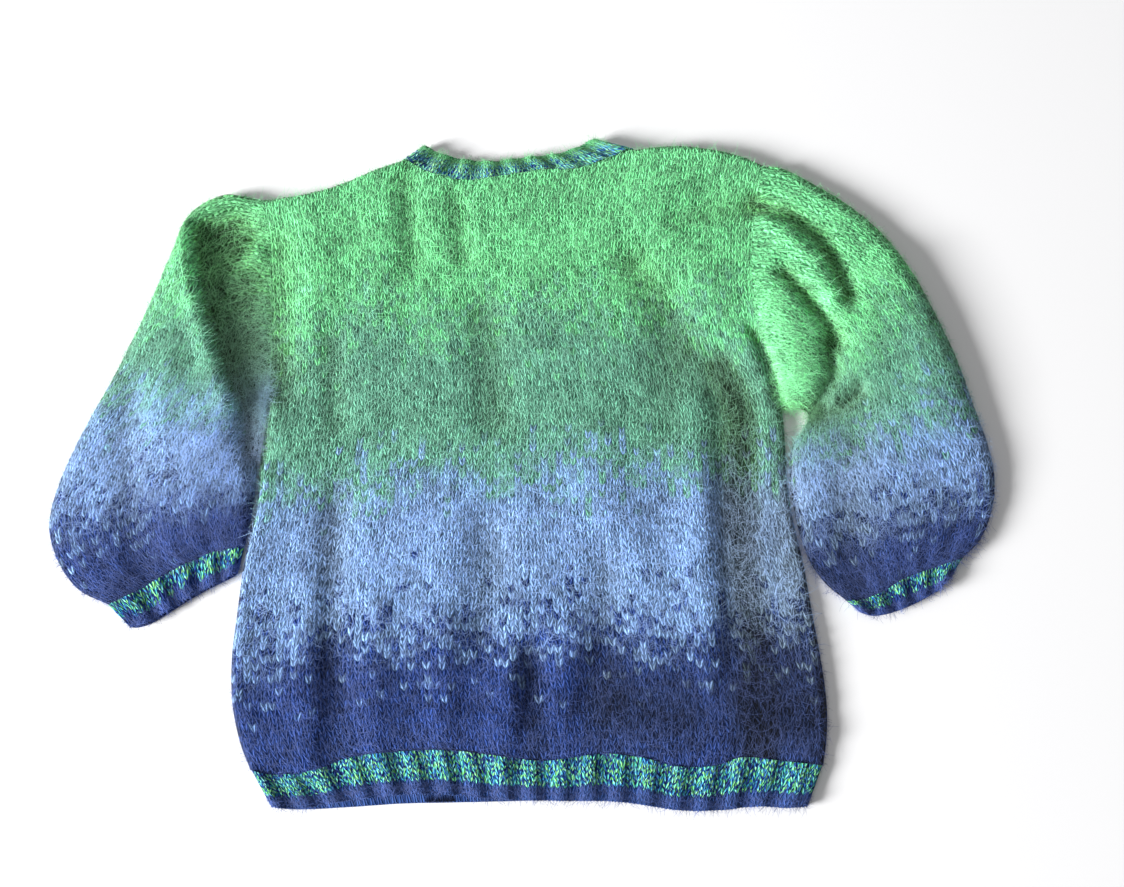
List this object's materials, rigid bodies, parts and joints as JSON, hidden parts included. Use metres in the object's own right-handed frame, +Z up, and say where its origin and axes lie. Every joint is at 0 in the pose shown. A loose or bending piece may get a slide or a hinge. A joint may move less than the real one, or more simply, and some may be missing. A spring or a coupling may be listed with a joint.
{
  "type": "knitted pullover",
  "caption": "Hand-knitted brushed mohair pullover with balloon sleeves, laid flat with its back up: green fading to blue and navy, with marled ribbed hem, cuffs and neckband.",
  "frame": {"origin": "bottom centre of the bounding box, on the surface that the garment lies on", "axes": "+X across the garment towards the wearer's right sleeve, +Y from the hem towards the neck, +Z up out of the surface, away from the front and out of the back"},
  "size_m": [0.8625, 0.6296, 0.0218],
  "materials": {
    "mohair_knit": "hand-knitted brushed mohair, green through dusty green and periwinkle to navy, matt with a fuzzy halo",
    "marled_rib_navy_edge": "ribbed marled yarn in lime, aqua, blue and navy, with a navy edge",
    "marled_rib_green_edge": "ribbed marled yarn in lime, aqua, blue and navy, with a green edge"
  },
  "bodies": {
    "root": {"back_panel": "mohair_knit", "front_panel": "mohair_knit", "sleeve_left": "mohair_knit", "sleeve_right": "mohair_knit", "hem_rib_back": "marled_rib_navy_edge", "hem_rib_front": "marled_rib_navy_edge", "cuff_left": "marled_rib_navy_edge", "cuff_right": "marled_rib_navy_edge", "neckband": "marled_rib_green_edge"}
  },
  "joints": []
}
